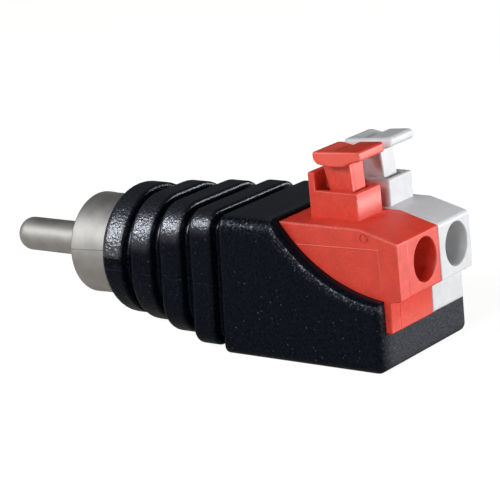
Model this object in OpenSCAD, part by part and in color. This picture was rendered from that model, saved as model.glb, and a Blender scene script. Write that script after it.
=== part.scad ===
// Adapter from a phono plug to a pair of push-button wire terminals, in millimetres.
// X runs along the plug with its pin towards -X, Z is up, and the origin is on the plug axis at the shell's mouth.

/* [Plug] */
// Diameter of the centre pin
pin_d = 3.2; // [3.1:0.05:3.3]
// How far the pin stands out past the mouth of the shell
pin_reach = 9.9; // [9:0.1:10]
// Rounding at the tip of the pin
pin_round = 1.3; // [0.6:0.1:1.4]
// Bore of the drawn pin, open at its back
pin_bore = 2.2; // [1.6:0.1:2.4]
// Outside diameter of the shell
shell_d = 9.4; // [9.2:0.1:9.6]
// Sheet thickness of the shell
shell_wall = 0.45; // [0.4:0.05:0.6]
// How far the shell stands out of the housing
shell_reach = 4.7; // [4:0.1:5.2]
// Depth from the mouth of the shell to the insulator
mouth_depth = 6.5; // [5:0.1:7]

/* [Housing] */
// Radius of the front ring
nose_r = 6.12; // [6.1:0.02:6.3]
// Thickness of the box's side walls
box_wall = 1.18; // [1.16:0.02:1.4]
// Height of the box top above the plug axis
box_top = 5.9; // [5.85:0.05:6.2]
// Depth of the box bottom below the plug axis
box_bottom = 6.8; // [6.6:0.05:7]
// Length of the closed roof between the rings and the terminals
roof_l = 6; // [5.8:0.1:6.4]
// How far the terminals stand out of the end of the box
term_reach = 1.7; // [1.5:0.1:2]
// Rounding along the upper edges of the box
box_top_round = 1.2; // [1:0.1:1.6]
// Rounding along the lower edges of the box
box_round = 0.8; // [0.75:0.05:1]
// Rounding round the end of the box
end_round = 0.7; // [0.5:0.05:0.7]
// Distance from the start of one ring to the start of the next
ring_pitch = 3.63; // [3.6:0.01:3.66]
// Width of the grooves between the rings
groove_w = 1.05; // [0.8:0.05:1.3]
// Depth of the grooves
groove_depth = 0.9; // [0.6:0.05:0.9]
// Rounding at the front of the housing
nose_round = 0.85; // [0.5:0.05:1]
// Rounding at the front edges of the rings
ring_round = 0.6; // [0.4:0.05:0.7]
// Rounding at the back edges of the rings
groove_round = 0.35; // [0.2:0.05:0.4]
// Radius of the curved cut that bares the terminals
scallop_r = 14.6; // [14.2:0.1:15]
// Rounding at the outer edge of the curved cut
scallop_round = 0.7; // [0.4:0.05:0.9]
// Radius of the space for the leads
wiring_r = 4.85; // [4.75:0.05:4.9]

/* [Terminals] */
// Width of one terminal
pitch = 5; // [5:0.04:5.08]
// Thickness of the end plate
plate_t = 1.5; // [1.4:0.05:1.6]
// Length of the terminals
term_l = 12.1; // [12:0.1:12.4]
// Top of the terminals
term_top = 5.65; // [5.5:0.05:5.75]
// Length of the slope at the front of the top
slope_l = 3.75; // [3.4:0.05:4]
// Height of the front face at its upper edge
brow_z = 4.62; // [4.5:0.02:4.8]
// Height of the front face at its lower edge
lip_z = -0.42; // [-0.6:0.02:-0.3]
// How far the foot stands back under the front face
foot_inset = 1.12; // [1:0.02:1.2]
// Underside of the terminals
foot_z = -3.36; // [-3.5:0.02:-3.2]
// Diameter of a wire entry
entry_d = 3.6; // [3.3:0.05:3.7]
// Rounding of a wire entry's mouth
entry_round = 0.2; // [0.1:0.05:0.3]
// Height of the wire entries above the plug axis
entry_z = 2.2; // [2.1:0.02:2.24]

/* [Buttons] */
// Distance from the back of a terminal to its socket
socket_inset = 2; // [1.9:0.05:2.1]
// Length of a socket
socket_l = 4.95; // [4.9:0.05:5.05]
// Width of a socket
socket_w = 3.7; // [3.6:0.05:3.8]
// Height of a socket's rim above the plug axis
socket_rim = 8; // [7.8:0.05:8.1]
// Height of a socket's back wall above the plug axis
socket_back = 9.6; // [9.4:0.05:9.7]
// Wall thickness of a socket
socket_wall = 0.55; // [0.5:0.05:0.6]
// Width of a button's head
head_w = 4; // [3.9:0.02:4.1]
// Rounding along the upper edges and the ends of a head
head_round = 0.35; // [0.2:0.05:0.4]
// Lean of the red button in its socket
red_lean = 3.4; // [3:0.1:4]
// Lean of the white button in its socket
white_lean = 4.6; // [4:0.1:4.8]
// Travel of a button
press = 1; // [0.8:0.05:1.1]

/* [Hidden] */
$fn = 64;
seat_gap = 0.02;
slide_gap = 0.12;
past = 1;
lap = 0.1;
ring_count = 4;
box_start = shell_reach + ring_count * ring_pitch;
term_back = box_start + roof_l;
term_front = term_back + term_l;
box_end = term_front - term_reach;
ridge_x = term_front - slope_l;
foot_x = term_front - foot_inset;
socket_x = term_back + socket_inset;
term_w = 2 * pitch + plate_t;
box_w = term_w + 2 * box_wall;
plate_y = -term_w / 2;
red_y = plate_y + plate_t + pitch / 2;
white_y = red_y + pitch;
shell_r = shell_d / 2;
shell_hold = 6.5;
shell_back = shell_reach + shell_hold;
flange_r = shell_r + 0.5;
flange_t = 0.7;
lug_l = 2.8;
lug_w = 1.8;
lug_t = 0.4;
lug_top = shell_wall - shell_r;
insulator_inset = 0.4;
insulator_back = shell_back - insulator_inset;
pin_seat_r = 1.85;
collar_r = 2.4;
collar_t = 0.8;
pin_tail = 2.2;
pin_back = insulator_back + pin_tail;
pin_tip_t = 1;
pocket_w = term_w + 2 * seat_gap;
pocket_z = foot_z - seat_gap;
scallop_rise = 8.15;
scallop_x = term_front;
scallop_z = box_top + scallop_rise;
core_r = 0.4;
jacket_r = 0.75;
bare_share = 0.2;
solder_r = 0.85;
solder_top_r = 0.4;
solder_h = 1.15;
solder_inset = 0.5;
solder_l = 1;
bare_l = 0.2;

// Inside of a terminal: side wall, end walls, floor and roof.
lip_drop = 0.2;
entry_shift = 0.15;
socket_root = 0.5;
side_wall = 0.8;
back_wall = 0.8;
front_wall = 2.6;
floor_t = 0.86;
roof_t = 0.95;
room_back = term_back + back_wall;
room_front = term_front - front_wall;
room_floor = foot_z + floor_t;
room_roof = term_top - roof_t;
bar_t = 0.5;
bar_near_gap = 0.6;
bar_far_gap = 0.1;
bar_w = pitch - side_wall - bar_near_gap - bar_far_gap;
bar_shift = (bar_near_gap - bar_far_gap - side_wall) / 2;
bar_z = room_floor + seat_gap;
bar_front = room_front - 2 * seat_gap;
bar_lip = 2.25;
window_r = 1.1;
window_z = 2.6;
tail_w = 1;
tail_l = 2.8;
tail_shift = -0.6;
spring_t = 0.35;
spring_w = 2.6;
spring_top = 3.68;
spring_foot = bar_z + bar_t + seat_gap;
spring_r = (spring_top - spring_foot) / 2;
spring_back = 0.25;
spring_x = room_back + spring_back + spring_r;
spring_inset = 1.05;
spring_reach = bar_front - spring_inset;
stem_foot = spring_top + seat_gap;

// Button, measured from the middle of its head's top before it leans. Its head stops over the back wall.
stem_inset = 3.65;
stem_x = socket_x + stem_inset;
head_back = 2.55;
head_front = 2.42;
head_back_t = 0.66;
head_front_t = 0.86;
head_clear = 0.36;
head_rise = socket_back + press + head_clear + head_back_t - stem_foot;
corner_r = 0.45;
heel_l = 0.5;
heel_z = 1.12;
chin_l = 0.95;
chin_z = 1;
belly_z = 1.36;
belly_back = 0.8;
belly_front = 0.55;
stem_w = 2.14;
stem_back = 1.1;
stem_front = 0.62;
web_w = 1.8;
web_back = 2.25;
web_mid = 1.9;
web_top = 1.6;
web_knee = 3.5;
gusset_l = 0.55;
gusset_z = 1.8;
slot_x = -0.4;
slot_w = 1.2;
slot_d = 0.45;
slot_l = 3.3;
hook_l = 1.35;
hook_t = 0.65;

// Leads run straight from the plug to the tails of the contact bars.
lead_start = pin_back - solder_l + bare_l;
lead_end = term_back - tail_l / 2;
lead_lift = 0.3;
tail_top = bar_z + bar_t;
lead_z = tail_top + core_r + lead_lift;
signal_from = [lead_start, 0, 0];
signal_to = [lead_end, red_y + tail_shift, lead_z];
ground_from = [lead_start, 0, lug_top + core_r + seat_gap];
ground_to = [lead_end, white_y + tail_shift, lead_z];

// Turns a shape drawn upright so that its height runs along the plug.
module along_plug() {
    rotate([90, 0, 90])
        children();
}

// Turns a side view, drawn with X across and Z up, into a slab of the given width centred on y.
module slab(y, width) {
    translate([0, y + width / 2, 0])
        rotate([90, 0, 0])
            linear_extrude(height = width)
                children();
}

// Straight round bar between two points.
module bar_between(from, to, r) {
    step = to - from;
    span = norm(step);
    translate(from)
        rotate([0, acos(step[2] / span), atan2(step[1], step[0])])
            cylinder(h = span, r = r);
}

// Half section of a band with rounded edges, from its middle out to radius r.
module band_section(length, r, front_round, back_round) {
    square([r - front_round, front_round]);
    translate([0, front_round])
        square([r, length - front_round - back_round]);
    translate([0, length - back_round])
        square([r - back_round, back_round]);
    intersection() {
        translate([r - front_round, front_round])
            circle(r = front_round);
        square([r, length]);
    }
    intersection() {
        translate([r - back_round, length - back_round])
            circle(r = back_round);
        square([r, length]);
    }
}

// One corner of a band, turned about its own centre.
module band_corner(y, z, turn, length, r, front_round, back_round) {
    translate([y, z, 0])
        rotate([0, 0, turn])
            rotate_extrude(angle = 90)
                band_section(length, r, front_round, back_round);
}

// One straight side of a band, facing the given way.
module band_side(y, z, turn, run, length, r, front_round, back_round) {
    translate([y, z, 0])
        rotate([0, 0, turn])
            translate([0, run / 2, 0])
                rotate([90, 0, 0])
                    linear_extrude(height = run)
                        band_section(length, r, front_round, back_round);
}

// Band round the plug axis with rounded corners and rounded edges.
module band(length, half_w, top, bottom, top_r, low_r, front_round, back_round) {
    deep = max(top_r, low_r);
    upper = top - top_r;
    lower = -(bottom - low_r);
    middle = (upper + lower) / 2;
    band_corner(half_w - top_r, upper, 0, length, top_r, front_round, back_round);
    band_corner(top_r - half_w, upper, 90, length, top_r, front_round, back_round);
    band_corner(low_r - half_w, lower, 180, length, low_r, front_round, back_round);
    band_corner(half_w - low_r, lower, 270, length, low_r, front_round, back_round);
    band_side(0, upper, 90, 2 * (half_w - top_r), length, top_r, front_round, back_round);
    band_side(0, lower, 270, 2 * (half_w - low_r), length, low_r, front_round, back_round);
    band_side(half_w - deep, middle, 0, upper - lower, length, deep, front_round, back_round);
    band_side(deep - half_w, middle, 180, upper - lower, length, deep, front_round, back_round);
    translate([deep - half_w, lower, 0])
        cube([2 * (half_w - deep), upper - lower, length]);
}

// Sizes along the nose, from 0 at the round front ring to 1 at the box.
function nose_half_w(k) = nose_r + (box_w / 2 - nose_r) * k;
function nose_top(k) = nose_r + (box_top - nose_r) * k;
function nose_bottom(k) = nose_r + (box_bottom - nose_r) * pow(k, 1.5);
function nose_top_r(k) = box_top_round + (nose_r - box_top_round) * pow(1 - k, 1.4);
function nose_low_r(k) = box_round + (nose_r - box_round) * (1 - k * k * (3 - 2 * k));

// Plain bar with rounded corners that fills the nose under the grooves.
module nose_core(k, from, to) {
    half_w = nose_half_w(k) - groove_depth;
    top = nose_top(k) - groove_depth;
    bottom = nose_bottom(k) - groove_depth;
    top_r = nose_top_r(k) - groove_depth;
    low_r = nose_low_r(k) - groove_depth;
    translate([from, 0, 0])
        along_plug()
            linear_extrude(height = to - from) {
                for (side = [-1, 1]) {
                    translate([side * (half_w - top_r), top - top_r])
                        circle(r = top_r);
                    translate([side * (half_w - low_r), low_r - bottom])
                        circle(r = low_r);
                }
                translate([top_r - half_w, low_r - bottom])
                    square([2 * (half_w - top_r), bottom - low_r + top]);
                translate([low_r - half_w, -bottom])
                    square([2 * (half_w - low_r), bottom + top - top_r]);
                translate([-half_w, low_r - bottom])
                    square([2 * half_w, bottom - low_r + top - top_r]);
            }
}

// Rounding cut along the outer edge of the curved cut, on one side of the box.
module scallop_edge() {
    translate([scallop_x, -box_w / 2, scallop_z])
        rotate([-90, 0, 0])
            rotate_extrude()
                difference() {
                    translate([scallop_r - scallop_round, -scallop_round])
                        square(2 * scallop_round);
                    translate([scallop_r + scallop_round, scallop_round])
                        circle(r = scallop_round);
                }
}

// Ringed soft moulding that carries the plug and the terminals.
module housing() {
    ring_l = ring_pitch - groove_w;
    color([0.05, 0.05, 0.06])
        difference() {
            union() {
                translate([shell_reach, 0, 0])
                    along_plug()
                        rotate_extrude()
                            band_section(ring_l, nose_r, nose_round, groove_round);
                for (i = [1 : ring_count - 1]) {
                    k = i / ring_count;
                    translate([shell_reach + i * ring_pitch, 0, 0])
                        along_plug()
                            band(ring_l, nose_half_w(k), nose_top(k), nose_bottom(k), nose_top_r(k),
                                 nose_low_r(k), ring_round, groove_round);
                }
                for (i = [0 : ring_count - 1]) {
                    start = shell_reach + i * ring_pitch + ring_l / 2;
                    nose_core((i + 0.5) / ring_count, start, start + ring_pitch);
                }
                translate([box_start, 0, 0])
                    along_plug()
                        band(box_end - box_start, box_w / 2, box_top, box_bottom, box_top_round, box_round,
                             groove_round, end_round);
            }
            rotate([0, 90, 0])
                cylinder(h = shell_back, r = shell_r + seat_gap);
            translate([shell_back - flange_t - seat_gap, 0, 0])
                rotate([0, 90, 0])
                    cylinder(h = flange_t + 2 * seat_gap, r = flange_r + seat_gap);
            translate([shell_back, 0, 0])
                rotate([0, 90, 0])
                    cylinder(h = term_back + seat_gap - shell_back, r = wiring_r);
            translate([term_back - seat_gap, -pocket_w / 2, pocket_z])
                cube([box_end, pocket_w, 2 * box_top]);
            translate([scallop_x, 0, scallop_z])
                rotate([90, 0, 0])
                    cylinder(h = 2 * box_w, r = scallop_r, center = true);
            scallop_edge();
            mirror([0, 1, 0])
                scallop_edge();
        }
}

// Drawn sleeve with a flange that anchors it in the housing and a lug for the ground lead.
module rca_shell() {
    color([0.72, 0.71, 0.69]) {
        along_plug()
            rotate_extrude() {
                translate([shell_r - shell_wall, 0])
                    square([shell_wall, shell_back]);
                translate([shell_r - shell_wall, shell_back - flange_t])
                    square([flange_r - shell_r + shell_wall, flange_t]);
            }
        translate([shell_back - flange_t, -lug_w / 2, lug_top - lug_t])
            cube([lug_l, lug_w, lug_t]);
    }
}

// Pin with a rounded closed tip, a thicker seat in the insulator, a collar behind it and an open back for the lead.
module centre_pin() {
    pin_r = pin_d / 2;
    color([0.72, 0.71, 0.69])
        translate([-pin_reach, 0, 0])
            along_plug()
                rotate_extrude()
                    difference() {
                        union() {
                            band_section(pin_reach + pin_back, pin_r, pin_round, seat_gap);
                            translate([0, pin_reach + mouth_depth + seat_gap])
                                square([pin_seat_r, insulator_back - mouth_depth]);
                            translate([0, pin_reach + insulator_back + seat_gap])
                                square([collar_r, collar_t]);
                        }
                        translate([0, pin_round + pin_tip_t])
                            square([pin_bore / 2, pin_reach + pin_back]);
                    }
}

// Moulded disc that holds the pin in the middle of the shell.
module plug_insulator() {
    color([0.85, 0.84, 0.8])
        translate([mouth_depth, 0, 0])
            rotate([0, 90, 0])
                difference() {
                    cylinder(h = insulator_back - mouth_depth, r = shell_r - shell_wall - seat_gap);
                    translate([0, 0, -past])
                        cylinder(h = insulator_back, r = pin_seat_r + seat_gap);
                }
}

// Stranded core of a lead.
module lead_core(from, to) {
    color([0.8, 0.5, 0.3])
        bar_between(from, to, core_r);
}

// Insulation over the middle of a lead.
module lead_jacket(from, to, shade) {
    step = to - from;
    color(shade)
        difference() {
            bar_between(from + bare_share * step, to - bare_share * step, jacket_r);
            bar_between(from, to, core_r + seat_gap);
        }
}

module signal_core() {
    lead_core(signal_from, signal_to);
}

module signal_jacket() {
    lead_jacket(signal_from, signal_to, [0.75, 0.1, 0.08]);
}

module ground_core() {
    lead_core(ground_from, ground_to);
}

module ground_jacket() {
    lead_jacket(ground_from, ground_to, [0.1, 0.1, 0.1]);
}

// Solder that fills the back of the pin round the signal core.
module pin_solder() {
    color([0.62, 0.63, 0.65])
        difference() {
            translate([pin_back - solder_l - seat_gap, 0, 0])
                rotate([0, 90, 0])
                    cylinder(h = solder_l, r = (pin_bore - seat_gap) / 2);
            bar_between(signal_from, signal_to, core_r);
        }
}

// Cone of solder round the end of a core, standing on the strip under it.
module solder_cone(from, to, foot) {
    color([0.62, 0.63, 0.65])
        difference() {
            translate(foot)
                cylinder(h = solder_h, r1 = solder_r, r2 = solder_top_r);
            bar_between(from, to, core_r);
        }
}

// Solder that holds the ground core on the shell's lug.
module lug_solder() {
    solder_cone(ground_from, ground_to, ground_from + [solder_inset, 0, -core_r - seat_gap / 2]);
}

// Solder that holds a core on the tail of a contact bar.
module tail_solder(from, to) {
    solder_cone(from, to, to - [solder_inset, 0, core_r + lead_lift - seat_gap / 2]);
}

module red_tail_solder() {
    tail_solder(signal_from, signal_to);
}

module white_tail_solder() {
    tail_solder(ground_from, ground_to);
}

// Side outline shared by the terminals and the end plate.
module terminal_outline() {
    polygon([[term_back, foot_z], [foot_x, foot_z], [foot_x, lip_z - lip_drop], [term_front, lip_z],
             [term_front, brow_z], [ridge_x, term_top], [term_back, term_top]]);
}

// Round mouth of a wire entry, opening towards +X.
module entry_cut(y) {
    translate([term_front, y + entry_shift, entry_z])
        rotate([0, -90, 0])
            rotate_extrude()
                difference() {
                    translate([0, -past])
                        square([entry_d / 2 + entry_round, entry_round + past]);
                    translate([entry_d / 2 + entry_round, entry_round])
                        circle(r = entry_round);
                }
    translate([room_front - seat_gap, y + entry_shift, entry_z])
        rotate([0, 90, 0])
            cylinder(h = term_front, r = entry_d / 2);
}

// Moulded terminal, open on its near side, with a square socket for the button on top.
module terminal_body(y) {
    near = y - pitch / 2;
    difference() {
        union() {
            slab(y, pitch)
                terminal_outline();
            translate([socket_x, y - socket_w / 2, term_top - socket_root])
                cube([socket_l, socket_w, socket_rim - term_top + socket_root]);
            translate([socket_x, y - socket_w / 2, term_top - socket_root])
                cube([socket_wall + slide_gap, socket_w, socket_back - term_top + socket_root]);
        }
        translate([room_back, near - past, room_floor])
            cube([room_front - room_back, pitch + past - side_wall, room_roof - room_floor]);
        translate([socket_x + socket_wall + slide_gap, y - socket_w / 2 + socket_wall, room_roof - past])
            cube([socket_l - 2 * socket_wall - slide_gap, socket_w - 2 * socket_wall, socket_back]);
        entry_cut(y);
        translate([term_back - past, y + tail_shift - tail_w / 2 - seat_gap, bar_z - seat_gap])
            cube([room_back - term_back + 2 * past, tail_w + 2 * seat_gap, bar_t + 2 * seat_gap]);
    }
}

module red_body() {
    color([0.8, 0.15, 0.11])
        terminal_body(red_y);
}

module white_body() {
    color([0.84, 0.85, 0.87])
        terminal_body(white_y);
}

// Plate that closes the open side of the red terminal, with the mark of an ejector pin.
module red_end_plate() {
    mark_x = 34.06;
    mark_z = 4.83;
    mark_r = 0.42;
    mark_w = 0.12;
    mark_d = 0.08;
    color([0.8, 0.15, 0.11])
        difference() {
            slab(plate_y + plate_t / 2, plate_t)
                terminal_outline();
            translate([mark_x, plate_y, mark_z])
                rotate([90, 0, 0])
                    difference() {
                        cylinder(h = 2 * mark_d, r = mark_r, center = true);
                        cylinder(h = past, r = mark_r - mark_w, center = true);
                    }
        }
}

// Stamped strip along a terminal's floor, with a riser that the wire passes through and a tail at the back.
module contact_bar(y) {
    near = y + bar_shift - bar_w / 2;
    color([0.78, 0.76, 0.7])
        difference() {
            union() {
                translate([room_back + seat_gap, near, bar_z])
                    cube([bar_front - room_back - seat_gap, bar_w, bar_t]);
                translate([bar_front - bar_t, near, bar_z])
                    cube([bar_t, bar_w, spring_top + seat_gap + bar_t - bar_z]);
                translate([bar_front - bar_lip, near, spring_top + seat_gap])
                    cube([bar_lip, bar_w, bar_t]);
                translate([term_back - tail_l, y + tail_shift - tail_w / 2, bar_z])
                    cube([room_back - term_back + tail_l + past, tail_w, bar_t]);
            }
            translate([bar_front - 2 * bar_t, y, window_z])
                rotate([0, 90, 0])
                    cylinder(h = 3 * bar_t, r = window_r);
        }
}

module red_contact_bar() {
    contact_bar(red_y);
}

module white_contact_bar() {
    contact_bar(white_y);
}

// Leaf spring bent into a U, with its free arm under the button and the clamping lip.
module clamp_spring(y) {
    centre_z = spring_foot + spring_r;
    color([0.7, 0.7, 0.71])
        slab(y + bar_shift, spring_w) {
            translate([spring_x, spring_foot])
                square([spring_reach - spring_x, spring_t]);
            translate([spring_x, spring_top - spring_t])
                square([spring_reach - spring_x, spring_t]);
            translate([spring_x, centre_z])
                difference() {
                    circle(r = spring_r);
                    circle(r = spring_r - spring_t);
                    translate([0, -2 * spring_r])
                        square(4 * spring_r);
                }
        }
}

module red_spring() {
    clamp_spring(red_y);
}

module white_spring() {
    clamp_spring(white_y);
}

// Side outline of a button's head, with a round nose and a round upper edge at the back.
module head_outline() {
    nose_x = head_front - head_round;
    polygon([[-head_back, -head_back_t], [-head_back, -head_round], [head_round - head_back, 0], [nose_x, 0],
             [head_front, -head_round], [head_front, head_round - head_front_t], [nose_x, -head_front_t],
             [head_front - chin_l, -chin_z], [belly_front, -belly_z], [-belly_back, -belly_z],
             [heel_l - head_back, -heel_z]]);
    for (place = [[head_round - head_back, -head_round], [nose_x, -head_round], [nose_x, head_round - head_front_t]])
        translate(place)
            circle(r = head_round);
}

// Head of a button, cut from its side, end and top outlines, with a slot that runs out towards the near side.
module button_head() {
    length = head_back + head_front;
    difference() {
        intersection() {
            slab(0, head_w)
                head_outline();
            translate([-head_back, 0, 0])
                along_plug()
                    linear_extrude(height = length) {
                        for (side = [-1, 1])
                            translate([side * (head_w / 2 - head_round), -head_round])
                                circle(r = head_round);
                        translate([head_round - head_w / 2, -belly_z])
                            square([head_w - 2 * head_round, belly_z]);
                        translate([-head_w / 2, -belly_z])
                            square([head_w, belly_z - head_round]);
                    }
            translate([0, 0, -belly_z])
                linear_extrude(height = belly_z) {
                    for (x = [corner_r - head_back, head_front - corner_r])
                        for (y = [corner_r - head_w / 2, head_w / 2 - corner_r])
                            translate([x, y])
                                circle(r = corner_r);
                    translate([-head_back, corner_r - head_w / 2])
                        square([length, head_w - 2 * corner_r]);
                    translate([corner_r - head_back, -head_w / 2])
                        square([length - 2 * corner_r, head_w]);
                }
        }
        translate([slot_x - slot_w / 2, head_w / 2 - slot_l, 0])
            rotate([-atan(slot_d / slot_l), 0, 0])
                cube([slot_w, 2 * slot_l, slot_l]);
    }
}

// Push button with a leaning stem, webs under its head and a hook that keeps it in its socket.
module push_button(y, lean) {
    translate([stem_x, y, stem_foot])
        rotate([0, -lean, 0])
            translate([0, 0, head_rise]) {
                button_head();
                translate([-stem_back, -stem_w / 2, hook_t / 2 - head_rise])
                    cube([stem_back + stem_front, stem_w, head_rise - hook_t / 2 - head_back_t]);
                slab(0, web_w)
                    polygon([[-web_back, lap - belly_z], [lap - stem_back, lap - belly_z], [lap - stem_back, hook_t - head_rise],
                             [-stem_back, hook_t - head_rise], [-web_mid, -web_knee], [-web_back, -web_top]]);
                slab(0, stem_w)
                    polygon([[stem_front - lap, -head_front_t], [stem_front + gusset_l, -head_front_t],
                             [stem_front - lap, -gusset_z]]);
            }
    translate([stem_x, y - stem_w / 2, stem_foot])
        cube([hook_l, stem_w, hook_t]);
}

module red_button() {
    color([0.8, 0.15, 0.11])
        push_button(red_y, red_lean);
}

module white_button() {
    color([0.84, 0.85, 0.87])
        push_button(white_y, white_lean);
}

housing();
rca_shell();
centre_pin();
plug_insulator();
signal_core();
signal_jacket();
ground_core();
ground_jacket();
pin_solder();
lug_solder();
red_tail_solder();
white_tail_solder();
red_body();
red_end_plate();
white_body();
red_contact_bar();
white_contact_bar();
red_spring();
white_spring();
red_button();
white_button();
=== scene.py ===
import bmesh
import bpy
import numpy as np
from mathutils import Matrix, Vector


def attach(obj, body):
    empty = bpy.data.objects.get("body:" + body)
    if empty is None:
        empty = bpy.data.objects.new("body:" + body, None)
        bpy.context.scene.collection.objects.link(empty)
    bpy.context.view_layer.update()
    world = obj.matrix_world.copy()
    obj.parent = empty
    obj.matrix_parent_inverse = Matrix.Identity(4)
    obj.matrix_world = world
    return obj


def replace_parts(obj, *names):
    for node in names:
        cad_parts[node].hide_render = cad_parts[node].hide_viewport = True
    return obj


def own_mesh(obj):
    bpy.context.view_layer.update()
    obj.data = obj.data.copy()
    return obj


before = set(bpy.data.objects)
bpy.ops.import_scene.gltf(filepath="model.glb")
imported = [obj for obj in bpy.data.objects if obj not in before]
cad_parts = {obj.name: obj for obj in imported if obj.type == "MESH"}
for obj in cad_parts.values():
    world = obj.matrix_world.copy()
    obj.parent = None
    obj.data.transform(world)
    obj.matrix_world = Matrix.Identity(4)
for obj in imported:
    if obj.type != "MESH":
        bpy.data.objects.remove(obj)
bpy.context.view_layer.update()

# Centre pin.
# The plug's pin is turned from brass, rounded at its tip, drilled from the back and plated with satin nickel.
# Its thicker seat is pressed into the insulator up to a collar, and the signal lead is soldered in its back.
MM = 0.001


def skin(name, grids):
    """One mesh of quads between neighbouring points of each grid, in mm. The last column of a grid joins
    its first. Points that fall together are merged and faces turned outwards."""
    points, quads, count = [], [], 0
    for grid in grids:
        rows, columns = grid.shape[:2]
        index = np.arange(rows * columns).reshape(rows, columns) + count
        index = np.hstack([index, index[:, :1]])
        corners = [index[:-1, :-1], index[1:, :-1], index[1:, 1:], index[:-1, 1:]]
        quads.append(np.stack(corners, -1).reshape(-1, 4))
        points.append(grid.reshape(-1, 3) * MM)
        count += rows * columns
    mesh = bpy.data.meshes.new(name)
    mesh.from_pydata(np.vstack(points).tolist(), [], np.vstack(quads).tolist())
    return merged(mesh, 0.0005)


def merged(mesh, near):
    """Mesh with points closer than near mm made one, empty faces dropped and the rest turned outwards."""
    work = bmesh.new()
    work.from_mesh(mesh)
    bmesh.ops.remove_doubles(work, verts=work.verts, dist=near * MM)
    bmesh.ops.dissolve_degenerate(work, edges=work.edges, dist=0.4 * near * MM)
    bmesh.ops.recalc_face_normals(work, faces=work.faces)
    work.to_mesh(mesh)
    work.free()
    return mesh


def place(name, mesh, crease=32):
    """Object at the origin for a finished mesh, smooth but for edges sharper than the crease angle."""
    mesh.shade_smooth()
    mesh.set_sharp_from_angle(angle=np.radians(crease))
    piece = bpy.data.objects.new(name, mesh)
    bpy.context.scene.collection.objects.link(piece)
    return piece


def bend(across, up, radius, start, end, steps=10):
    """Points on an arc about (across, up): the radius times cosine and sine of angles spaced evenly from
    start to end."""
    angle = np.radians(np.linspace(start, end, steps))
    return np.stack([across + radius * np.cos(angle), up + radius * np.sin(angle)], -1)


def turned(outline, turns=144):
    """Grid of a turned surface: each point of the outline, place along X and distance from X, goes
    round X."""
    along, out = (column[:, None] for column in outline.T)
    angle = np.linspace(0, 2 * np.pi, turns, endpoint=False)
    return np.stack([along + 0 * angle, out * np.cos(angle), out * np.sin(angle)], -1)


class Shade:
    """A socket's value in a finish. Arithmetic on it adds Math nodes to that finish."""

    def __init__(self, finish, socket):
        self.finish, self.socket = finish, socket

    def math(self, operation, *terms):
        return self.finish.add("ShaderNodeMath", {"operation": operation}, dict(enumerate(terms)))

    def __add__(self, other):
        return self.math("ADD", self, other)

    def __sub__(self, other):
        return self.math("SUBTRACT", self, other)

    def __rsub__(self, other):
        return self.math("SUBTRACT", other, self)

    def __mul__(self, other):
        return self.math("MULTIPLY", self, other)

    def __truediv__(self, other):
        return self.math("DIVIDE", self, other)

    __radd__, __rmul__ = __add__, __mul__

    def bigger(self, other):
        return self.math("MAXIMUM", self, other)

    def smaller(self, other):
        return self.math("MINIMUM", self, other)

    def size(self):
        return self.math("ABSOLUTE", self)

    def root(self):
        return self.math("SQRT", self)

    def cycle(self):
        return self.math("FRACT", self)

    def rise(self, low, high):
        """0 below low, 1 above high and a smooth step between them; with low above high it falls instead."""
        ends = (low, high, 0.0, 1.0) if low < high else (high, low, 1.0, 0.0)
        names = ("From Min", "From Max", "To Min", "To Max")
        return self.finish.add("ShaderNodeMapRange", {"interpolation_type": "SMOOTHSTEP"},
                               {"Value": self, **dict(zip(names, ends))})


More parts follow.
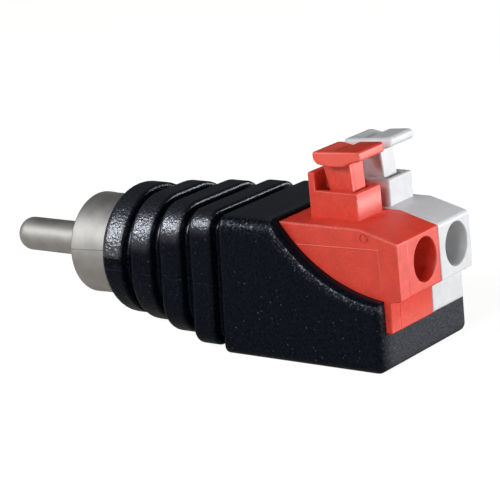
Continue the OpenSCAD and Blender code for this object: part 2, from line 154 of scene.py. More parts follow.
class Finish:
    """A procedural material on a Principled shader whose plain values are set on its own sockets."""

    def __init__(self, name, **plain):
        self.material = bpy.data.materials.new(name)
        self.material.use_nodes = True
        self.tree = self.material.node_tree
        self.shaders = [self.tree.nodes["Principled BSDF"]]
        self.place = self.add("ShaderNodeTexCoord", {}, {}, "Object")
        self.settle(self.shaders[0], plain)

    def settle(self, shader, plain):
        for socket, value in plain.items():
            shader.inputs[socket.replace("_", " ")].default_value = value

    def second(self, share, **plain):
        """A second Principled shader, with plain values of its own, that takes over by a share of 0 to 1."""
        self.shaders.append(self.tree.nodes.new("ShaderNodeBsdfPrincipled"))
        self.settle(self.shaders[1], plain)
        both = [Shade(self, shader.outputs[0]) for shader in self.shaders]
        mixed = self.add("ShaderNodeMixShader", {}, {0: share, 1: both[0], 2: both[1]})
        self.tree.links.new(mixed.socket, self.tree.nodes["Material Output"].inputs["Surface"])

    def add(self, kind, settings, sockets, out=0):
        """A node of that type, with its settings made first, then its values or links; gives one output."""
        node = self.tree.nodes.new(kind)
        for name, value in settings.items():
            setattr(node, name, value)
        for name, value in sockets.items():
            if isinstance(value, Shade):
                self.tree.links.new(value.socket, node.inputs[name])
            else:
                node.inputs[name].default_value = value
        return Shade(self, node.outputs[out])

    def axes(self):
        """X, Y and Z of the surface in mm."""
        grown = self.add("ShaderNodeVectorMath", {"operation": "SCALE"}, {0: self.place, "Scale": 1 / MM})
        return [self.add("ShaderNodeSeparateXYZ", {}, {0: grown}, name) for name in "XYZ"]

    def noise(self, grain, detail=3.0, rough=0.55, stretch=(1, 1, 1)):
        """Cloudy value from 0 to 1 in patches about grain mm across, drawn out along the axes by stretch."""
        drawn_out = {"Vector": self.place, "Scale": tuple(1 / share for share in stretch)}
        spread = self.add("ShaderNodeMapping", {}, drawn_out)
        patches = {"Vector": spread, "Scale": 1 / (grain * MM), "Detail": detail, "Roughness": rough}
        return self.add("ShaderNodeTexNoise", {}, patches)

    def cells(self, grain):
        """Distance from the nearest of many scattered points about grain mm apart."""
        scattered = {"Vector": self.place, "Scale": 1 / (grain * MM)}
        return self.add("ShaderNodeTexVoronoi", {}, scattered, "Distance")

    def mix(self, first, second, share):
        """Colour between two colours, by a share from 0 to 1."""
        node = {"data_type": "RGBA", "clamp_factor": True}
        sides = [v if isinstance(v, Shade) else (*v, 1.0) for v in (first, second)]
        return self.add("ShaderNodeMix", node, {0: share, 6: sides[0], 7: sides[1]}, 2)

    def bump(self, height, depth):
        """Normal of a surface whose height, from 0 to 1, stands for depth mm."""
        return self.add("ShaderNodeBump", {}, {"Height": height, "Distance": depth * MM, "Strength": 1.0})

    def feed(self, **links):
        """Links values into the sockets of each shader."""
        for shader in self.shaders:
            for name, value in links.items():
                self.tree.links.new(value.socket, shader.inputs[name.replace("_", " ")])
        return self.material


def dress(piece, material):
    """Gives the piece that one material."""
    piece.data.materials.clear()
    piece.data.materials.append(material)
    return piece


nickel = Finish("satin_nickel", Metallic=1.0)
drawn = nickel.noise(0.05, 2.0, stretch=(30, 1, 1))
cloud = nickel.noise(1.6, 4.0)
speck = nickel.cells(0.55).rise(0.16, 0.05)
x, y, z = nickel.axes()
# The line called seam is a painted reflection of the horizon along the shell's near side: a dark line in the
# colour, with a slight groove in the bump.
seam = (z - 0.55 - 0.05 * x).size().rise(0.09, 0.03) * y.rise(-4, -4.4)
nickel_tone = nickel.mix((0.47, 0.463, 0.452), (0.56, 0.552, 0.54), cloud.rise(0.3, 0.7))
nickel_finish = nickel.feed(
    Base_Color=nickel.mix(nickel_tone, (0.29, 0.275, 0.25), 0.6 * seam + 0.25 * speck),
    Roughness=0.52 + 0.1 * cloud + 0.06 * drawn + 0.1 * speck,
    Normal=nickel.bump(0.8 * drawn + 0.3 * speck + 6 * seam, 0.0012))

PIN_R, PIN_TIP, PIN_ROUND, SEAT_R, COLLAR_R, PIN_BORE = 1.6, -9.9, 1.3, 1.85, 2.4, 1.1
MOUTH_DEPTH, INSULATOR_BACK, COLLAR_T, PIN_BACK = 6.52, 10.82, 0.8, 13.0
pin_line = np.vstack([
    [[PIN_TIP, 0]], bend(PIN_TIP + PIN_ROUND, PIN_R - PIN_ROUND, PIN_ROUND, 180, 90, 16),
    [[x, PIN_R] for x in (-6, -3, 0, 3, MOUTH_DEPTH)],
    [[MOUTH_DEPTH, SEAT_R], [INSULATOR_BACK, SEAT_R], [INSULATOR_BACK, COLLAR_R]],
    [[INSULATOR_BACK + COLLAR_T, COLLAR_R], [INSULATOR_BACK + COLLAR_T, PIN_R], [PIN_BACK, PIN_R]],
    [[PIN_BACK, PIN_BORE], [PIN_TIP + PIN_ROUND + 1, PIN_BORE], [PIN_TIP + PIN_ROUND + 1, 0]]])
pin = dress(place("pin_turned", skin("pin_turned", [turned(pin_line)])), nickel_finish)
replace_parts(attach(pin, "base"), "centre_pin")

# Shell.
# The plug's sleeve is drawn from brass sheet, flared a little at its rolled lip and plated like the pin.
# A flange holds it in the moulding, and a lug on the flange takes the ground lead.
SHELL_R, SHELL_WALL, SHELL_BACK, FLANGE_R, FLANGE_T = 4.7, 0.45, 11.2, 5.2, 0.7
LUG_L, LUG_W, LUG_T = 2.8, 1.8, 0.4
lip = SHELL_WALL / 2
shell_line = np.vstack([
    [[SHELL_BACK, SHELL_R - SHELL_WALL], [6, SHELL_R - SHELL_WALL], [1.2, SHELL_R - SHELL_WALL]],
    bend(lip, SHELL_R - lip + 0.04, lip, 270, 90, 14), [[0.7, SHELL_R + 0.03], [1.2, SHELL_R]],
    [[x, SHELL_R] for x in (2.5, 4, 6, SHELL_BACK - FLANGE_T)],
    [[SHELL_BACK - FLANGE_T, FLANGE_R], [SHELL_BACK, FLANGE_R]]])
sleeve = turned(np.vstack([shell_line, shell_line[:1]]))
lug_low, lug_x = SHELL_WALL - SHELL_R - LUG_T, SHELL_BACK - FLANGE_T
lug_side = np.array([[-1, 0], [1, 0], [1, 1], [-1, 1]]) * [LUG_W / 2, LUG_T] + [0, lug_low]
lug_ends = np.array([[lug_x, 0], [lug_x, 1], [lug_x + LUG_L, 1], [lug_x + LUG_L, 0]])
lug_mid = np.array([0, lug_low + LUG_T / 2])
lug = np.stack([np.column_stack([np.full(4, x), lug_mid + (lug_side - lug_mid) * share])
                for x, share in lug_ends])
shell = dress(place("shell_drawn", skin("shell_drawn", [sleeve, lug])), nickel_finish)
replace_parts(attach(shell, "base"), "rca_shell")

# Insulator.
# A disc of natural plastic holds the pin in the middle of the shell; its face is seen down the mouth.
natural = Finish("natural_plastic", Roughness=0.5)
faint = natural.noise(0.5, 3.0)
dress(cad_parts["plug_insulator"], natural.feed(
    Base_Color=natural.mix((0.68, 0.66, 0.6), (0.78, 0.76, 0.71), faint), Roughness=0.42 + 0.2 * faint,
    Normal=natural.bump(faint, 0.01)))

# Leads and solder.
# Two short insulated leads of tinned copper strand run from the pin and the lug to the terminals' tails.
# Each end is soldered, and all of it is closed in by the housing.
copper = Finish("copper_strand", Metallic=1.0, Roughness=0.35)
twist = copper.add("ShaderNodeTexWave", {"bands_direction": "DIAGONAL"},
                   {"Vector": copper.place, "Scale": 1300.0})
copper_finish = copper.feed(Base_Color=copper.mix((0.42, 0.2, 0.11), (0.72, 0.4, 0.24), twist),
                            Normal=copper.bump(twist, 0.05))
for node in ("signal_core", "ground_core"):
    dress(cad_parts[node], copper_finish)
for node, dark, pale in (("signal_jacket", (0.36, 0.02, 0.015), (0.5, 0.035, 0.025)),
                         ("ground_jacket", (0.012, 0.012, 0.013), (0.025, 0.025, 0.026))):
    jacket = Finish(node + "_plastic", Roughness=0.35)
    drawn = jacket.noise(0.2, 2.0, stretch=(12, 1, 1))
    dress(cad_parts[node], jacket.feed(
        Base_Color=jacket.mix(dark, pale, drawn),
        Roughness=0.3 + 0.15 * drawn,
        Normal=jacket.bump(drawn, 0.005)))
solder = Finish("solder", Metallic=1.0, Roughness=0.25)
frosted = solder.noise(0.12, 3.0)
solder_finish = solder.feed(Base_Color=solder.mix((0.46, 0.47, 0.49), (0.64, 0.65, 0.67), frosted),
                            Roughness=0.2 + 0.25 * frosted, Normal=solder.bump(frosted, 0.01))
for node in ("pin_solder", "lug_solder", "red_tail_solder", "white_tail_solder"):
    dress(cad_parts[node], solder_finish)

# Housing.
# One soft black moulding, grained by spark erosion, holds the shell. Rings with smooth grooves run from its
# round nose to the box, whose sides are cut in a polished curve that bares the terminals in their pocket.
NOSE_R, BOX_HALF, BOX_TOP, BOX_LOW, TOP_ROUND, LOW_ROUND = 6.12, 6.93, 5.9, 6.8, 1.2, 0.8
NOSE_X, RING_PITCH, RING_L, RINGS = 4.7, 3.63, 2.58, 4
NOSE_ROUND, RING_ROUND, BACK_ROUND, END_ROUND = 0.85, 0.6, 0.35, 0.7
GROOVE_D, GROOVE_ROUND, BORE_R, BORE_END = 0.9, 0.22, 4.72, 9.0
BOX_X, TERM_BACK, BOX_END = 19.22, 25.22, 35.62
POCKET_HALF, POCKET_Z = 5.77, -3.38
CUT_R, CUT_X, CUT_Z, CUT_ROUND = 14.6, 37.32, 14.05, 0.7
LEAN = np.tan(np.radians(3.0))


def housing_rows():
    """Rows of the moulding's skin: place along X, inset under the outline, place from round nose 0 to box 1,
    and share of the outline kept, which falls to nothing where an end closes. Edges are quarter circles of
    place against inset."""
    dip = GROOVE_D - GROOVE_ROUND
    rows = [(BORE_END, NOSE_R - BORE_R, 0, share) for share in (0, 0.5, 1)]
    rows += [(x, NOSE_R - BORE_R, 0, 1) for x in (7, NOSE_X + 0.1)]
    for ring in range(RINGS + 1):
        k = ring / RINGS
        start = NOSE_X + ring * RING_PITCH
        front = NOSE_ROUND if ring == 0 else RING_ROUND if ring < RINGS else BACK_ROUND
        if ring:
            rows += [(x, d, k, 1) for x, d in bend(start - GROOVE_ROUND, dip, GROOVE_ROUND, 90, 0, 6)]
        rows += [(x, d, k, 1) for x, d in bend(start + front, front, front, 180, 270, 9)]
        back, last = (BACK_ROUND, start + RING_L) if ring < RINGS else (END_ROUND, BOX_END)
        steps = 8 if ring < RINGS else 46
        rows += [(x, 0, k, 1) for x in np.linspace(start + front, last - back, steps)[1:-1]]
        rows += [(x, d, k, 1) for x, d in bend(last - back, back, back, 270, 360, 9)]
        if ring < RINGS:
            rows += [(x, d, k, 1) for x, d in bend(last + GROOVE_ROUND, dip, GROOVE_ROUND, 180, 90, 6)]
    return np.array(rows + [(BOX_END, END_ROUND, 1, share) for share in (0.8, 0.6, 0.4, 0.2, 0)], float)


def rounded_rows(along, half, top, low, top_r, low_r, share):
    """Grid of one rounded rectangle a row: four quarter circles joined by straight sides. Half is half its
    width, top and low are its reach up and down, top_r and low_r its corner radii, and share shrinks a row
    towards its middle line."""
    arc, side = np.linspace(0, 90, 13), np.arange(1, 26) / 26
    turn = np.concatenate([np.concatenate([c * 90 + arc, np.full(side.size, c * 90 + 90)]) for c in range(4)])
    blend = np.tile(np.concatenate([np.zeros(arc.size), side]), 4)
    corner = np.repeat(np.arange(4), arc.size + side.size)

    def centre(which):
        upper = which < 2
        right = np.where((which == 0) | (which == 3), 1, -1)
        r = np.where(upper, top_r, low_r)
        return r, right * (half - r), np.where(upper, top - r, r - low)

    here, there = centre(corner), centre((corner + 1) % 4)
    r, y, z = (a + (b - a) * blend for a, b in zip(here, there))
    y, z = y + r * np.cos(np.radians(turn)), z + r * np.sin(np.radians(turn))
    middle = (top - low) / 2
    return np.stack([along + 0 * y, share * y, middle + share * (z - middle)], -1)


def housing_skin():
    """Rounded rectangles whose sizes pass from a circle at the nose to the box. The rings lean back by a
    share of their height, from nothing at the shell to nothing at the terminals."""
    x, inset, k, share = (column[:, None] for column in housing_rows().T)
    half = NOSE_R + (BOX_HALF - NOSE_R) * k - inset
    top = NOSE_R + (BOX_TOP - NOSE_R) * k - inset
    low = NOSE_R + (BOX_LOW - NOSE_R) * k ** 1.5 - inset
    top_r = np.maximum(TOP_ROUND + (NOSE_R - TOP_ROUND) * (1 - k) ** 1.4 - inset, 0)
    low_r = np.maximum(LOW_ROUND + (NOSE_R - LOW_ROUND) * (1 - k * k * (3 - 2 * k)) - inset, 0)
    grid = rounded_rows(x, half, top, low, top_r, low_r, share)
    tilt = np.clip((x - NOSE_X) / 4, 0, 1) * np.clip((TERM_BACK - 1 - x) / 4, 0, 1)
    grid[..., 0] += LEAN * tilt * grid[..., 2]
    return grid


def cut_skin():
    """Cutter turned about a cross line over the box: its radius is that of the curve, growing by a quarter
    circle at each side wall so that the wall's edge comes out round."""
    side = bend(BOX_HALF - CUT_ROUND, CUT_R + CUT_ROUND, CUT_ROUND, 270, 360, 12)
    line = np.vstack([side, [[BOX_HALF + 1, CUT_R + CUT_ROUND], [BOX_HALF + 1, 0]]])
    line = np.vstack([line[::-1] * [-1, 1], line])
    y, r = (column[:, None] for column in line.T)
    angle = np.linspace(0, 2 * np.pi, 288, endpoint=False)
    return np.stack([CUT_X + r * np.cos(angle), y + 0 * angle, CUT_Z + r * np.sin(angle)], -1)


def pocket_skin():
    """Plain block that clears the terminals' pocket: a rectangle carried up, closed at both ends."""
    back, front = TERM_BACK - 0.02, BOX_END + 5
    flat = np.array([[back, -POCKET_HALF], [front, -POCKET_HALF], [front, POCKET_HALF], [back, POCKET_HALF]])
    middle = flat.mean(0)
    ends = [(POCKET_Z, 0), (POCKET_Z, 1), (BOX_TOP + 5, 1), (BOX_TOP + 5, 0)]
    return np.stack([np.concatenate([middle + (flat - middle) * s, np.full((4, 1), z)], 1) for z, s in ends])


def cut_from(mesh, grids):
    """Mesh with the solid of each grid taken away from it in turn."""
    name = mesh.name
    block = bpy.data.objects.new("block", mesh)
    bpy.context.scene.collection.objects.link(block)
    tools = []
    for number, grid in enumerate(grids):
        tool = bpy.data.objects.new(f"tool_{number}", skin(f"tool_{number}", [grid]))
        bpy.context.scene.collection.objects.link(tool)
        step = block.modifiers.new(f"step_{number}", "BOOLEAN")
        step.operation, step.solver, step.object = "DIFFERENCE", "EXACT", tool
        tools.append(tool)
    bpy.context.view_layer.update()
    done = bpy.data.meshes.new_from_object(block.evaluated_get(bpy.context.evaluated_depsgraph_get()))
    for thing in (block, *tools):
        bpy.data.objects.remove(thing)
    bpy.data.meshes.remove(mesh)
    done.name = name
    return merged(done, 0.002)


moulding = cut_from(skin("housing_moulded", [housing_skin()]), [cut_skin(), pocket_skin()])

black = Finish("grained_black", Specular_IOR_Level=0.085, Specular_Tint=(0.72, 0.82, 1.0, 1))
x, y, z = black.axes()
ringed = (x - LEAN * z - NOSE_X) / RING_PITCH
nose = x.rise(BOX_X + 0.4, BOX_X + 0.2)
along_ring = ringed.cycle() * RING_PITCH
groove = along_ring.rise(RING_L - 0.12, RING_L + 0.05) * nose * x.rise(NOSE_X + 1, NOSE_X + 1.4)
from_cut = ((x - CUT_X) * (x - CUT_X) + (z - CUT_Z) * (z - CUT_Z)).root()
polished = from_cut.rise(CUT_R + 0.34, CUT_R + 0.2) * x.rise(BOX_X + 2, BOX_X + 3)
smooth = groove.bigger(polished)
end = x.rise(BOX_END - 0.3, BOX_END - 0.02) * y.rise(0.2 - BOX_HALF, 2.6 - BOX_HALF)
fine = black.noise(0.12, 2.0)
coarse = black.noise(0.24, 2.0)
wander = black.noise(1.4, 2.0)
pits = black.cells(0.3)
parting = (z + 0.45 + 0.5 * (wander - 0.5)).size().rise(0.13, 0.03) * nose
first = x.rise(NOSE_X + 3.5, NOSE_X + 2.9)
gash = (z - 0.2 + 0.7 * (wander - 0.5)).size().rise(0.62, 0.3) * first
ragged = gash * coarse.rise(0.42, 0.56)
torn = (z - 0.6 + 0.4 * (wander - 0.5) + 0.2 * (coarse - 0.5)).size().rise(0.16, 0.05) * first
grain = (0.2 * fine + 0.6 * coarse + 0.4 * pits) * (1 - 0.92 * smooth) * (1 + 0.6 * end)
relief = grain - 0.9 * parting - 2.2 * ragged - 0.6 * gash - 3 * torn
glint = black.cells(0.5).rise(0.2, 0.1) * coarse.rise(0.5, 0.62)
crest = z - (1.16 * (ringed - ringed.cycle())).smaller(4.1) + 1.2 * first
back_edge = along_ring.rise(RING_L - 0.5, RING_L - 0.2) * nose
rim = from_cut.rise(CUT_R + 1.2, CUT_R + 0.6) * x.rise(TERM_BACK - 4, TERM_BACK - 2) * (1 - polished)
spark = coarse.rise(0.52, 0.68)
above = z.rise(0.45, 0.75).bigger(1 - first)
shoulder = x.rise(BOX_X + 0.2, BOX_X + 0.8) * z.rise(BOX_TOP - 0.02, BOX_TOP - 0.2)
worn_top = crest.rise(0.1, 2.0) * above * (1 - shoulder * (0.94 - 0.8 * spark))
worn = worn_top.bigger(rim * (0.05 + 0.6 * spark)) * (1 - polished) * (1 - end) * (1 - 0.7 * back_edge)
black.second(worn, IOR=2.6, Specular_Tint=(0.86, 0.9, 1.0, 1))
mottle = coarse.rise(0.25, 0.75) * (1 - torn)
black_tone = black.mix((0.0012, 0.0018, 0.0038), (0.0065, 0.0085, 0.0145), mottle)
# The end face is painted a paler grey, painted light where the right-hand lamps fall, over its real coarser
# grain; the glint specks are painted highlights of grain catching the light.
painted_light_share = end * (0.2 + 0.6 * coarse) + 0.8 * glint * (1 - smooth)
black_finish = black.feed(
    Base_Color=black.mix(black_tone, (0.085, 0.089, 0.1), painted_light_share),
    Roughness=(0.28 + 0.08 * coarse + 0.15 * end + 0.1 * rim) * (1 - smooth) + 0.25 * smooth,
    Normal=black.bump(relief, 0.07))
housing = dress(place("housing_moulded", moulding, 40), black_finish)
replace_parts(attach(housing, "base"), "housing")

# Terminals.
# Each wire terminal is a stiff moulding with a square socket for its button and a round wire entry. The white
# one closes the red one's far side, a red plate its near side, and the row is pushed into the pocket.
TERM_FRONT, TERM_TOP, TERM_W, PLATE_T, BROW_Z, RIDGE_X = 37.32, 5.65, 5.0, 1.5, 4.62, 33.57
RED_Y, WHITE_Y, ROOM_FRONT = -1.75, 3.25, 34.72
PLATE_FACE = RED_Y - TERM_W / 2 - PLATE_T
ENTRY_R, ENTRY_SHIFT, ENTRY_Z, ENTRY_ROUND = 1.8, 0.15, 2.2, 0.2
OVAL_W, OVAL_H, OVAL_Z, LIP_SHARE = 1.72, 1.95, 2.22, 0.5
MARK_X, MARK_Z = 34.06, 4.83


def solid_copy(node, name):
    """Copy of a node's mesh with its doubled points merged and its flat faces joined."""
    mesh = bpy.data.meshes.new(name)
    work = bmesh.new()
    work.from_mesh(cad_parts[node].data)
    bmesh.ops.remove_doubles(work, verts=work.verts, dist=0.001 * MM)
    bmesh.ops.dissolve_limit(work, angle_limit=np.radians(0.6), verts=work.verts, edges=work.edges)
    work.to_mesh(mesh)
    work.free()
    return mesh


def oval_entry(mesh, y):
    """Draws the round wire entry out to the oval of the real one: points of the bore and its lip are scaled
    about it."""
    points = np.empty(len(mesh.vertices) * 3)
    mesh.vertices.foreach_get("co", points)
    points = points.reshape(-1, 3) / MM
    far = np.hypot(points[:, 1] - y - ENTRY_SHIFT, points[:, 2] - ENTRY_Z)
    bore = (far < ENTRY_R + ENTRY_ROUND + 0.05) & (points[:, 0] > ROOM_FRONT - 0.05)
    middle, drawn = np.array([y + ENTRY_SHIFT, ENTRY_Z]), np.array([y + ENTRY_SHIFT, OVAL_Z])
    way = (points[bore, 1:] - middle) / far[bore, None]
    lip = LIP_SHARE * np.maximum(far[bore, None] - ENTRY_R, 0)
    points[bore, 1:] = drawn + way * (np.array([OVAL_W, OVAL_H]) + lip)
    mesh.vertices.foreach_set("co", (points * MM).ravel())
    return mesh


def eased(mesh, radius_at, most):
    """Mesh with its outer edges rounded: radius_at takes their middles in mm and gives each its radius."""
    work = bmesh.new()
    work.from_mesh(mesh)
    turn = np.array([edge.calc_face_angle_signed(0.0) for edge in work.edges])
    middle = np.array([(edge.verts[0].co + edge.verts[1].co) / (2 * MM) for edge in work.edges])
    work.free()
    radius = np.where(turn > np.radians(24), radius_at(*middle.T), 0)
    weight = mesh.attributes.new("bevel_weight_edge", "FLOAT", "EDGE")
    weight.data.foreach_set("value", radius / most)
    block = bpy.data.objects.new(mesh.name, mesh)
    bpy.context.scene.collection.objects.link(block)
    step = block.modifiers.new("eased_edges", "BEVEL")
    step.width, step.segments, step.limit_method = most * MM, 4, "WEIGHT"
    step.use_clamp_overlap, step.miter_outer = False, "MITER_ARC"
    bpy.context.view_layer.update()
    done = bpy.data.meshes.new_from_object(block.evaluated_get(bpy.context.evaluated_depsgraph_get()))
    name = mesh.name
    bpy.data.objects.remove(block)
    bpy.data.meshes.remove(mesh)
    done.name = name
    return done


def place_flat(name, mesh):
    """Object whose flat faces stay flat beside their rounded edges."""
    piece = place(name, mesh, 35)
    weigh = piece.modifiers.new("flat_faces", "WEIGHTED_NORMAL")
    weigh.keep_sharp, weigh.weight = True, 100
    return piece


def terminal_edges(y, front, side, seam, socket):
    """Radius at each edge of a terminal: its front face's rim, its far side and foot, the seam on its near
    side, and its socket; none inside."""
    def radius_at(px, py, pz):
        near, far = y - TERM_W / 2, y + TERM_W / 2
        entry = np.hypot(py - y - ENTRY_SHIFT, pz - OVAL_Z) < OVAL_H + 0.4
        room = (px < ROOM_FRONT + 0.05) & (py < near + 0.05) & (pz < TERM_TOP - 0.4)
        outer = (px > ROOM_FRONT) | (py > far - 0.05) | (py < near + 0.05) | (pz > TERM_TOP - 0.05)
        r = np.where(px > TERM_FRONT - 0.05, front, side)
        r = np.where(py < near + 0.05, seam, r)
        r = np.where(pz > TERM_TOP + 0.1, socket, r)
        return np.where(outer & ~room & ~entry, r, 0)
    return radius_at


def plate_edges(px, py, pz):
    """Radius at each edge of the end plate: its rim on the near side, and next to none elsewhere."""
    ring = np.hypot(px - MARK_X, pz - MARK_Z) < 0.6
    return np.where((py < PLATE_FACE + PLATE_T - 0.05) & ~ring, 0.16, 0.03)


red = Finish("red_plastic", IOR=1.8)
x, y, z = red.axes()
red_cloud = red.noise(0.9, 4.0)
red_fine = red.noise(0.14, 3.0)
dust = red.cells(0.6).rise(0.13, 0.05) * red_fine.rise(0.45, 0.6)
near_face = y.rise(PLATE_FACE + 0.09, PLATE_FACE + 0.03)
under_top = (TERM_TOP - (x - RIDGE_X).bigger(0.0) * ((TERM_TOP - BROW_Z) / (TERM_FRONT - RIDGE_X))) - z
# A thin paler line along the plate's top near edge is painted highlight; the bump also raises it a little as
# a ridge of flash.
flash_and_painted_highlight = under_top.size().rise(0.26, 0.08) * y.rise(PLATE_FACE + 0.3, PLATE_FACE + 0.15)
flash_and_painted_highlight = flash_and_painted_highlight * (0.3 + 0.7 * red_fine.rise(0.35, 0.6))
level_line = (z - 3.0 - 0.0274 * x).size().rise(0.07, 0.02) * x.rise(26.9, 27.1) * x.rise(35.5, 35.4)
upright_line = (x - 35.53 + 0.0424 * z).size().rise(0.07, 0.02) * z.rise(0.4, 0.5) * z.rise(4.0, 3.95)
panel = level_line.bigger(upright_line) * near_face
stem_front = x.rise(31.0, 31.05) * x.rise(31.6, 31.5) * z.rise(6.0, 6.2)
stem_line = (y - RED_Y + 0.55).size().rise(0.1, 0.03) * stem_front
# The sides of the red button's head are painted a brighter red: painted light, more than the lamps give
# there.
head_painted_light = z.rise(9.0, 10.6) * z.rise(11.75, 11.4)
red_mottle = 0.5 * red_cloud.rise(0.25, 0.75) + 0.5 * red_fine.rise(0.34, 0.66)
red_tone = red.mix((0.59, 0.022, 0.005), (0.81, 0.047, 0.018), red_mottle)
red_tone = red.mix(red_tone, (0.98, 0.13, 0.09), 0.6 * head_painted_light)
red_finish = red.feed(
    Base_Color=red.mix(red_tone, (0.92, 0.2, 0.16), 0.6 * flash_and_painted_highlight + 0.4 * dust + 0.35 * panel),
    Roughness=0.44 + 0.14 * red_cloud,
    Normal=red.bump(0.5 * red_fine + 0.3 * red_cloud + 1.2 * panel + 0.6 * flash_and_painted_highlight - 1.5 * stem_line, 0.02))
white = Finish("white_plastic", IOR=1.5)
white_cloud = white.noise(0.9, 4.0)
white_fine = white.noise(0.09, 2.0)
white_finish = white.feed(
    Base_Color=white.mix((0.62, 0.637, 0.66), (0.68, 0.694, 0.715), white_cloud.rise(0.25, 0.75)),
    Roughness=0.38 + 0.12 * white_cloud,
    Normal=white.bump(0.6 * white_fine + 0.4 * white_cloud, 0.012))

red_terminal = eased(oval_entry(solid_copy("red_body", "red_terminal_moulded"), RED_Y),
                     terminal_edges(RED_Y, 0.22, 0.14, 0.04, 0.1), 0.3)
white_terminal = eased(oval_entry(solid_copy("white_body", "white_terminal_moulded"), WHITE_Y),
                       terminal_edges(WHITE_Y, 0.3, 0.24, 0.1, 0.2), 0.4)
plate = eased(solid_copy("red_end_plate", "red_plate_moulded"), plate_edges, 0.2)
for node, mesh, finish, slot in (("red_body", red_terminal, red_finish, "red"),
                                 ("white_body", white_terminal, white_finish, "white"),
                                 ("red_end_plate", plate, red_finish, "red")):
    piece = dress(place_flat(mesh.name, mesh), finish)
    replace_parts(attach(piece, "base"), node)

# Contact bars and springs.
# In each terminal a tinned bronze bar lies on the floor and a bright steel strip, bent to a U, pushes the
# wire up against the bar's lip until the button bends it down.
bronze = Finish("tinned_bronze", Metallic=1.0, Roughness=0.3)
rolled = bronze.noise(0.08, 2.0, stretch=(20, 1, 1))
bronze_finish = bronze.feed(Base_Color=bronze.mix((0.5, 0.46, 0.38), (0.7, 0.66, 0.56), rolled),
                            Roughness=0.22 + 0.2 * rolled, Normal=bronze.bump(rolled, 0.003))
steel = Finish("spring_steel", Metallic=1.0, Roughness=0.25)
ground = steel.noise(0.06, 2.0, stretch=(25, 1, 1))
steel_finish = steel.feed(Base_Color=steel.mix((0.5, 0.5, 0.52), (0.64, 0.64, 0.66), ground),
                          Roughness=0.18 + 0.2 * ground, Normal=steel.bump(ground, 0.003))
for node in ("red_contact_bar", "white_contact_bar"):
    dress(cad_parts[node], bronze_finish)
SPRING_BEND, SPRING_REACH, SPRING_FOOT, SPRING_TOP = 29.09, 33.63, -1.96, 3.68
SPRING_T, SPRING_HALF, SPRING_ROUND, SPRING_SHIFT, PRESS = 0.35, 1.3, 0.08, -0.15, 1.0


def strip_skin(y):
    """Rounded rectangle carried along a U, which is the lower arm, a half circle at the back and the upper
    arm, and shrunk to nothing at both ends. Its corners stand off the U by half its width and thickness."""
    middle, radius = (SPRING_FOOT + SPRING_TOP) / 2, (SPRING_TOP - SPRING_FOOT - SPRING_T) / 2
    arm = np.linspace(SPRING_REACH, SPRING_BEND, 12)[:-1]
    turn = np.radians(np.concatenate([np.full(11, 270), np.linspace(270, 90, 41), np.full(11, 90)]))
    along = np.concatenate([arm, np.full(41, SPRING_BEND), arm[::-1]])
    share = np.ones(along.size)
    rim = bend(0, 0, SPRING_ROUND, 0, 360, 25)[:-1].reshape(4, 6, 2)
    inner = np.array([SPRING_HALF, SPRING_T / 2]) - SPRING_ROUND
    corner = np.array([(1, 1), (-1, 1), (-1, -1), (1, -1)])[:, None] * inner
    across, out = (rim + corner).reshape(-1, 2).T
    along, turn, share = (np.concatenate([v[:1], v, v[-1:]])[:, None] for v in (along, turn, share))
    share[[0, -1]] = 0
    far = radius + share * out
    x, z = along + far * np.cos(turn), middle + far * np.sin(turn)
    return np.stack([x, y + SPRING_SHIFT + share * across, z], -1)


for colour, y in (("red", RED_Y), ("white", WHITE_Y)):
    name = colour + "_spring_bent"
    piece = dress(place(name, skin(name, [strip_skin(y)]), 38), steel_finish)
    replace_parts(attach(piece, "base"), colour + "_spring")
    y * MM
    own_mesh(piece)

# Buttons.
# Each button is one moulding: a head with a screwdriver slot, and a leaning stem with a web behind it, whose
# hook keeps the button in its socket.
HEAD_BACK, HEAD_FRONT, HEAD_HALF, SLOT_L = 2.55, 2.42, 2.0, 3.5
STEM_X, STEM_FOOT, HEAD_RISE, STEM_HALF, STEM_BACK, STEM_FRONT = 30.87, 3.70, 7.92, 1.07, 1.1, 0.62
GUSSET_L, GUSSET_Z, HEAD_FRONT_T = 0.14, 1.4, 0.86
WEB_HALF, HOOK_L, HOOK_T = 0.9, 1.35, 0.65
BELLY = np.array([(-2.55, 0.66), (-2.05, 1.12), (-0.8, 1.36), (0.55, 1.36), (1.47, 1.0), (2.42, 0.86)])
SLOT = np.array([(-1.8, 0), (-0.85, 0.26), (-0.72, 0.58), (-0.2, 0.58), (0.0, 0)])
WEB = np.array([(-7.27, 1.1), (-3.5, 1.9), (-1.6, 2.25), (-1.2, 2.25)])


def head_skin(end_r, edge_r):
    """Rounded rectangles along the head, whose underside follows the belly's outline and whose ends are
    rounded off. The slot is pressed into the top: full depth at the far edge, nothing where it runs out."""
    flat = np.linspace(end_r - HEAD_BACK, HEAD_FRONT - end_r, 60)[1:-1]
    ends = np.vstack([bend(end_r - HEAD_BACK, end_r, end_r, 180, 270, 9), np.stack([flat, 0 * flat], -1),
                      bend(HEAD_FRONT - end_r, end_r, end_r, 270, 360, 9)])
    kept = np.column_stack([ends, np.ones(len(ends))])
    rows = np.vstack([[[-HEAD_BACK, end_r, 0]], kept, [[HEAD_FRONT, end_r, 0]]])
    x, inset, share = (column[:, None] for column in rows.T)
    top, low = -0.6 * inset, np.interp(x, *BELLY.T) - 0.5 * inset
    round_r = np.minimum(edge_r, (top + low) / 2.2)
    grid = rounded_rows(x, HEAD_HALF - inset, top, low, round_r, np.minimum(round_r, 0.2), share)
    depth = np.interp(x, *SLOT.T) * np.clip(1 + (grid[..., 1] - HEAD_HALF) / SLOT_L, 0, 1) ** 0.6
    grid[..., 2] -= depth * np.clip(1 + grid[..., 2] / 0.85, 0, 1)
    return grid


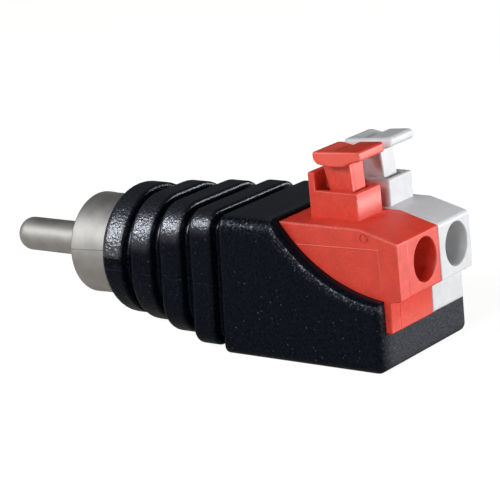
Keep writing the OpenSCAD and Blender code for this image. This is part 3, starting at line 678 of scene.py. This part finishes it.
def post_skin(down, front, back, half, corner):
    """Upright bar: a rounded rectangle at each depth under the head, closed at both ends by shrinking to its
    middle."""
    lines = np.broadcast_arrays(down, front, back)
    down, front, back = (np.concatenate([line[:1], line, line[-1:]])[:, None] for line in lines)
    share = np.ones_like(down)
    share[[0, -1]] = 0
    grid = rounded_rows(down, half, front, back, corner, corner, share)
    return grid[..., [2, 1, 0]]


def button_skins(y, lean, end_r, edge_r):
    """Head, stem, web and hook of a button, leaned back about the stem's foot and set over its terminal."""
    stem_down = np.linspace(HOOK_T / 2 - HEAD_RISE, -0.66, 40)
    front = STEM_FRONT + GUSSET_L * np.clip((stem_down + GUSSET_Z) / (GUSSET_Z - HEAD_FRONT_T), 0, 1)
    web_down = np.linspace(WEB[0, 0], WEB[-1, 0], 40)
    web = np.interp(web_down, *WEB.T)
    grids = [head_skin(end_r, edge_r), post_skin(stem_down, front, STEM_BACK, STEM_HALF, 0.2),
             post_skin(web_down, -STEM_BACK + 0.3, web, WEB_HALF, 0.12)]
    tip = np.radians(-lean)
    turn = np.array([[np.cos(tip), 0, np.sin(tip)], [0, 1, 0], [-np.sin(tip), 0, np.cos(tip)]])
    leaned = [(grid + [0, 0, HEAD_RISE]) @ turn.T + [STEM_X, y, STEM_FOOT] for grid in grids]
    hook = post_skin(np.linspace(0, HOOK_T, 4), HOOK_L, 0.0, STEM_HALF, 0.1) + [STEM_X, y, STEM_FOOT]
    return leaned + [hook]


for colour, y, lean, end_r, edge_r, finish in (("red", RED_Y, 3.4, 0.36, 0.2, red_finish),
                                               ("white", WHITE_Y, 4.6, 0.5, 0.34, white_finish)):
    name = colour + "_button_moulded"
    piece = dress(place(name, skin(name, button_skins(y, lean, end_r, edge_r)), 38), finish)
    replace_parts(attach(piece, colour + "_push"), colour + "_button")

# Camera, floor and light.
# A long lens looks down at the plug's near side with its terminal end towards the right.
camera = bpy.data.cameras.new("camera")
camera.lens, camera.sensor_width, camera.clip_start = 172.4, 36.0, 0.01
eye = bpy.data.objects.new("camera", camera)
bpy.context.scene.collection.objects.link(eye)
right, up, back = (0.80001, 0.59296, -0.09143), (-0.08970, 0.26884, 0.95901), (0.59323, -0.75901, 0.26826)
turn = Matrix((right, up, back)).transposed().to_4x4()
turn.translation = (0.14539, -0.16370, 0.05859)
eye.matrix_world = turn
bpy.context.scene.camera = eye

floor_mesh = bpy.data.meshes.new("floor")
FLOOR_HALF, FLOOR_Z = 3.0, -0.0068
floor_plan = np.array([(-1, -1), (1, -1), (1, 1), (-1, 1)]) * FLOOR_HALF
floor_mesh.from_pydata([(*corner, FLOOR_Z) for corner in floor_plan.tolist()], [], [(0, 1, 2, 3)])
floor = bpy.data.objects.new("floor", floor_mesh)
bpy.context.scene.collection.objects.link(floor)
paper = bpy.data.materials.new("white_paper")
paper.use_nodes = True
nodes, links = paper.node_tree.nodes, paper.node_tree.links
nodes.remove(nodes["Principled BSDF"])
kinds = ("BsdfDiffuse", "Emission", "LightPath", "MixShader")
sheet, glow, path, blend = (nodes.new("ShaderNode" + kind) for kind in kinds)
sheet.inputs["Color"].default_value = (0.62, 0.59, 0.55, 1)
shine = nodes.new("ShaderNodeMath")
shine.operation = "MULTIPLY"
shine.inputs[1].default_value = 0.65
glow.inputs["Strength"].default_value = 1.42
links.new(path.outputs["Is Camera Ray"], shine.inputs[0])
links.new(shine.outputs[0], blend.inputs[0])
links.new(sheet.outputs[0], blend.inputs[1])
links.new(glow.outputs[0], blend.inputs[2])
links.new(blend.outputs[0], nodes["Material Output"].inputs["Surface"])
floor_mesh.materials.append(paper)

world = bpy.data.worlds.new("studio")
bpy.context.scene.world = world
world.use_nodes = True
sky, seen = world.node_tree.nodes["Background"], world.node_tree.nodes.new("ShaderNodeLightPath")
level = world.node_tree.nodes.new("ShaderNodeMath")
level.operation = "MAXIMUM"
level.inputs[1].default_value = 0.045
world.node_tree.links.new(seen.outputs["Is Camera Ray"], level.inputs[0])
world.node_tree.links.new(level.outputs[0], sky.inputs["Strength"])
sky.inputs["Color"].default_value = (0.98, 0.99, 1.0, 1)

AIM = Vector((0.016, 0.0, 0.002))
for name, way, far, size, power in (("right_low", (0.72, 0.69, 0.09), 0.4, (0.22, 0.07), 0.83),
                                    ("right_high", (0.93, 0.34, 0.13), 0.4, (0.2, 0.1), 0.95),
                                    ("left_box", (-0.6, -0.64, 0.48), 0.45, (0.085, 0.085), 0.64),
                                    ("near_box", (0.1, -0.82, 0.56), 0.4, (0.2, 0.2), 0.95)):
    lamp = bpy.data.lights.new(name, "AREA")
    lamp.shape, lamp.energy = "RECTANGLE", power
    lamp.size, lamp.size_y = size
    box = bpy.data.objects.new(name, lamp)
    bpy.context.scene.collection.objects.link(box)
    box.location = AIM + far * Vector(way)
    box.rotation_mode = "QUATERNION"
    box.rotation_quaternion = Vector(way).to_track_quat("Z", "Y")

bpy.context.scene.view_settings.view_transform = "Standard"
